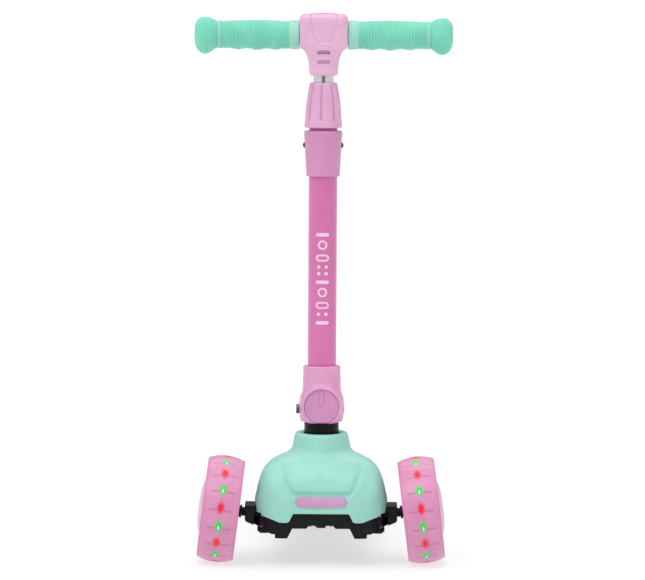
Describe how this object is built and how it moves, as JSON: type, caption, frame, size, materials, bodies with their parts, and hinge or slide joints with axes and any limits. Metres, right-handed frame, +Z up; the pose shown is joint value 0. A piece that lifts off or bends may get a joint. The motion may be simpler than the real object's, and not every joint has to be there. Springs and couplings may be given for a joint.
{
  "type": "kick scooter",
  "caption": "Child's lean-to-steer kick scooter with lit front wheels, a moulded front cover, a folding height-adjustable stem with a T handlebar, and a rear fender brake.",
  "frame": {"origin": "on the floor under the middle of the scooter's overall box", "axes": "+Z up, -Y forwards, +X to the rider's left"},
  "size_m": [0.2902, 0.526, 0.6168],
  "materials": {
    "black_nylon": "fine grain",
    "mint_plastic": "satin gloss",
    "mint_rubber": "soft, ribbed",
    "pink_plastic": "satin gloss",
    "pale_pink_plastic": "satin gloss",
    "pink_paint": "gloss paint",
    "pink_urethane": "translucent gloss",
    "white_nylon": "smooth",
    "chrome": "polished",
    "zinc_steel": "bright zinc",
    "dark_steel": "black zinc",
    "lamps": "clear lens over red and green lamps"
  },
  "bodies": {
    "deck": {"deck_board": "black_nylon", "grip_pad": "mint_rubber", "front_bridge": "black_nylon", "bridge_bolts": "zinc_steel", "front_cover": "mint_plastic", "cover_badge": "pink_plastic", "cover_screws": "zinc_steel", "steering_post": "black_nylon", "post_bolt": "zinc_steel", "kingpins": "zinc_steel", "return_springs": "dark_steel", "rear_axle": "zinc_steel", "rear_spacers": "zinc_steel", "brake_pin": "zinc_steel", "brake_spring": "dark_steel"},
    "left_knuckle": {"left_knuckle": "black_nylon", "left_axle": "zinc_steel", "left_bushings": "white_nylon", "left_magnet_sleeve": "dark_steel"},
    "right_knuckle": {"right_knuckle": "black_nylon", "right_axle": "zinc_steel", "right_bushings": "white_nylon", "right_magnet_sleeve": "dark_steel"},
    "tie_rod": {"tie_rod": "black_nylon", "tie_rod_bolts": "zinc_steel"},
    "left_wheel": {"left_tyre": "pink_urethane", "left_core": "pale_pink_plastic", "left_lights": "lamps", "left_bearings": "zinc_steel", "left_hub_cap": "pale_pink_plastic"},
    "right_wheel": {"right_tyre": "pink_urethane", "right_core": "pale_pink_plastic", "right_lights": "lamps", "right_bearings": "zinc_steel", "right_hub_cap": "pale_pink_plastic"},
    "rear_wheel": {"rear_tyre": "pink_urethane", "rear_core": "pale_pink_plastic", "rear_lights": "lamps", "rear_bearings": "zinc_steel"},
    "rear_brake": {"rear_brake": "black_nylon"},
    "stem": {"fold_housing": "pink_plastic", "fold_pivot_bolt": "dark_steel", "pivot_washers": "white_nylon", "stem_tube": "pink_paint", "stem_collar": "pink_plastic", "collar_screws": "dark_steel", "clamp_sleeve": "white_nylon", "button_spring": "dark_steel"},
    "fold_button": {"fold_button": "pink_plastic"},
    "height_knob": {"height_knob": "pink_plastic"},
    "handlebar": {"inner_tube": "chrome", "tube_guide": "white_nylon", "t_piece_front": "pink_plastic", "t_piece_back": "pink_plastic", "t_piece_screws": "dark_steel", "crossbar": "zinc_steel", "left_grip": "mint_rubber", "right_grip": "mint_rubber"}
  },
  "joints": [
    {"name": "steer_left", "type": "hinge", "parent": "deck", "child": "left_knuckle", "pos_m": [0.064, -0.20302, 0.05407], "axis": [0, -0.2588, 0.9659], "range_deg": [-15, 15], "stiffness_Nm_per_rad": 5, "deforming": ["return_springs"]},
    {"name": "steer_right", "type": "hinge", "parent": "deck", "child": "right_knuckle", "pos_m": [-0.064, -0.20302, 0.05407], "axis": [0, -0.2588, 0.9659], "range_deg": [-15, 15]},
    {"name": "tie_rod_pivot", "type": "hinge", "parent": "left_knuckle", "child": "tie_rod", "pos_m": [0.064, -0.22234, 0.04889], "axis": [0, -0.2588, 0.9659], "range_deg": [-15, 15]},
    {"name": "left_wheel_spin", "type": "hinge", "parent": "left_knuckle", "child": "left_wheel", "pos_m": [0.1117, -0.20302, 0.05992], "axis": [0.9925, 0, 0.1219], "continuous": true},
    {"name": "right_wheel_spin", "type": "hinge", "parent": "right_knuckle", "child": "right_wheel", "pos_m": [-0.1117, -0.20302, 0.05992], "axis": [0.9925, 0, -0.1219], "continuous": true},
    {"name": "rear_wheel_spin", "type": "hinge", "parent": "deck", "child": "rear_wheel", "pos_m": [0, 0.21698, 0.04], "axis": [1, 0, 0], "continuous": true},
    {"name": "brake_press", "type": "hinge", "parent": "deck", "child": "rear_brake", "pos_m": [0, 0.16598, 0.06], "axis": [-1, 0, 0], "range_deg": [0, 4.8], "stiffness_Nm_per_rad": 2, "springref_deg": -8.59, "deforming": ["brake_spring"]},
    {"name": "stem_fold", "type": "hinge", "parent": "deck", "child": "stem", "pos_m": [0, -0.18702, 0.1714], "axis": [-1, 0, 0], "range_deg": [0, 90]},
    {"name": "fold_button_press", "type": "slide", "parent": "stem", "child": "fold_button", "axis": [0, 0.9994, -0.0349], "range_m": [0, 0.0032], "stiffness_N_per_m": 900, "springref_m": -0.003, "deforming": ["button_spring"]},
    {"name": "height_knob_turn", "type": "hinge", "parent": "stem", "child": "height_knob", "pos_m": [0, -0.17516, 0.51119], "axis": [0, 0.0349, 0.9994], "range_deg": [0, 180]},
    {"name": "handlebar_height", "type": "slide", "parent": "stem", "child": "handlebar", "axis": [0, 0.0349, 0.9994], "range_m": [0, 0.12]}
  ],
  "couplings": [
    {"joint": "steer_right", "follows": "steer_left", "ratio": 1},
    {"joint": "tie_rod_pivot", "follows": "steer_left", "ratio": -1}
  ]
}
